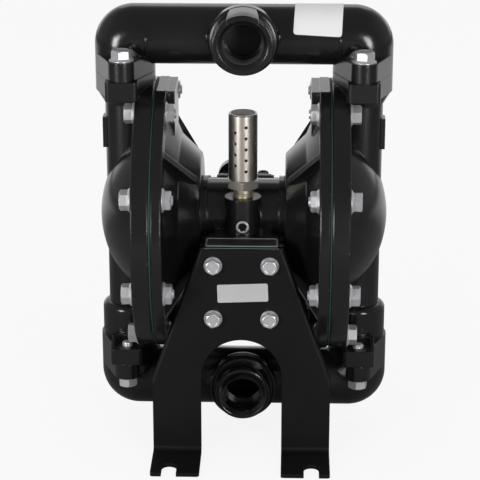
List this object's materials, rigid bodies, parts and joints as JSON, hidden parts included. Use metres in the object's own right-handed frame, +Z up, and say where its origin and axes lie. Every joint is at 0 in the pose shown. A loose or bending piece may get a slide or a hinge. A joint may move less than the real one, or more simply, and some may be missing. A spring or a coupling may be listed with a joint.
{
  "type": "air-operated double diaphragm pump",
  "caption": "Double diaphragm pump driven by compressed air, with round chambers, ball check valves, pipe manifolds, an exhaust muffler and folded foot brackets.",
  "frame": {"origin": "on the ground, midway between the two chambers and midway between the front and rear feet", "axes": "+X towards the right-hand chamber seen from the ports, +Y away from the ports, +Z up"},
  "size_m": [0.218, 0.218, 0.3295],
  "materials": {
    "housing_paint": "gloss",
    "bracket_paint": "satin",
    "zinc": "satin",
    "muffler_nickel": "satin",
    "black_oxide": "satin",
    "diaphragm_rubber": "matte",
    "gasket_rubber": "matte",
    "seal_rubber": "matte",
    "aluminium": "satin",
    "ball_rubber": "matte",
    "seat_plastic": "matte",
    "bronze": "satin",
    "steel": "polished",
    "element_plastic": "matte",
    "valve_black": "satin"
  },
  "bodies": {
    "pump": {"centre_body": "housing_paint", "air_cap_left": "housing_paint", "air_cap_right": "housing_paint", "fluid_cap_left": "housing_paint", "fluid_cap_right": "housing_paint", "top_manifold": "housing_paint", "bottom_manifold": "housing_paint", "diaphragm_left": "diaphragm_rubber", "diaphragm_right": "diaphragm_rubber", "rod_bushing_left": "bronze", "rod_bushing_right": "bronze", "rod_seal_left": "seal_rubber", "rod_seal_right": "seal_rubber", "air_cap_screws_left": "black_oxide", "air_cap_screws_right": "black_oxide", "hub_gasket_left": "gasket_rubber", "hub_gasket_right": "gasket_rubber", "inlet_ball_seats": "seat_plastic", "outlet_ball_seats": "seat_plastic", "inlet_seat_seals": "seal_rubber", "outlet_seat_seals": "seal_rubber", "top_manifold_bolts": "zinc", "bottom_manifold_bolts": "zinc", "ring_bolts_left": "zinc", "ring_bolts_right": "zinc", "ring_nuts_left": "zinc", "ring_nuts_right": "zinc", "front_foot_bracket": "bracket_paint", "rear_foot_bracket": "bracket_paint", "front_gasket": "gasket_rubber", "rear_gasket": "gasket_rubber", "front_foot_bolts": "zinc", "rear_foot_bolts": "zinc", "pipe_plug": "zinc", "muffler_base": "muffler_nickel", "muffler_shell": "muffler_nickel", "muffler_element": "element_plastic", "valve_block": "valve_black", "valve_gasket": "seal_rubber", "valve_sleeve": "aluminium", "valve_end_plug_left": "black_oxide", "valve_end_plug_right": "black_oxide", "valve_screws": "black_oxide", "air_inlet_bushing": "zinc"},
    "rod": {"diaphragm_rod": "steel", "inner_plate_left": "aluminium", "inner_plate_right": "aluminium", "outer_plate_left": "aluminium", "outer_plate_right": "aluminium", "rod_screw_left": "steel", "rod_screw_right": "steel"},
    "pilot": {"pilot_pin": "steel"},
    "spool": {"valve_spool": "steel"},
    "ball_inlet_left": {"inlet_ball_left": "ball_rubber"},
    "ball_inlet_right": {"inlet_ball_right": "ball_rubber"},
    "ball_outlet_left": {"outlet_ball_left": "ball_rubber"},
    "ball_outlet_right": {"outlet_ball_right": "ball_rubber"}
  },
  "joints": [
    {"name": "rod_slide", "type": "slide", "parent": "pump", "child": "rod", "axis": [1, 0, 0], "range_m": [-0.009, 0.009], "deforming": ["diaphragm_left", "diaphragm_right"]},
    {"name": "pilot_slide", "type": "slide", "parent": "pump", "child": "pilot", "axis": [1, 0, 0], "range_m": [-0.004, 0.004]},
    {"name": "spool_slide", "type": "slide", "parent": "pump", "child": "spool", "axis": [1, 0, 0], "range_m": [-0.0045, 0.0045]},
    {"name": "inlet_ball_lift_left", "type": "slide", "parent": "pump", "child": "ball_inlet_left", "axis": [0, 0, 1], "range_m": [0, 0.008]},
    {"name": "inlet_ball_lift_right", "type": "slide", "parent": "pump", "child": "ball_inlet_right", "axis": [0, 0, 1], "range_m": [0, 0.008]},
    {"name": "outlet_ball_lift_left", "type": "slide", "parent": "pump", "child": "ball_outlet_left", "axis": [0, 0, 1], "range_m": [0, 0.008]},
    {"name": "outlet_ball_lift_right", "type": "slide", "parent": "pump", "child": "ball_outlet_right", "axis": [0, 0, 1], "range_m": [0, 0.008]}
  ],
  "couplings": [
    {"joint": "pilot_slide", "follows": "rod_slide", "ratio": 0.44444}
  ]
}
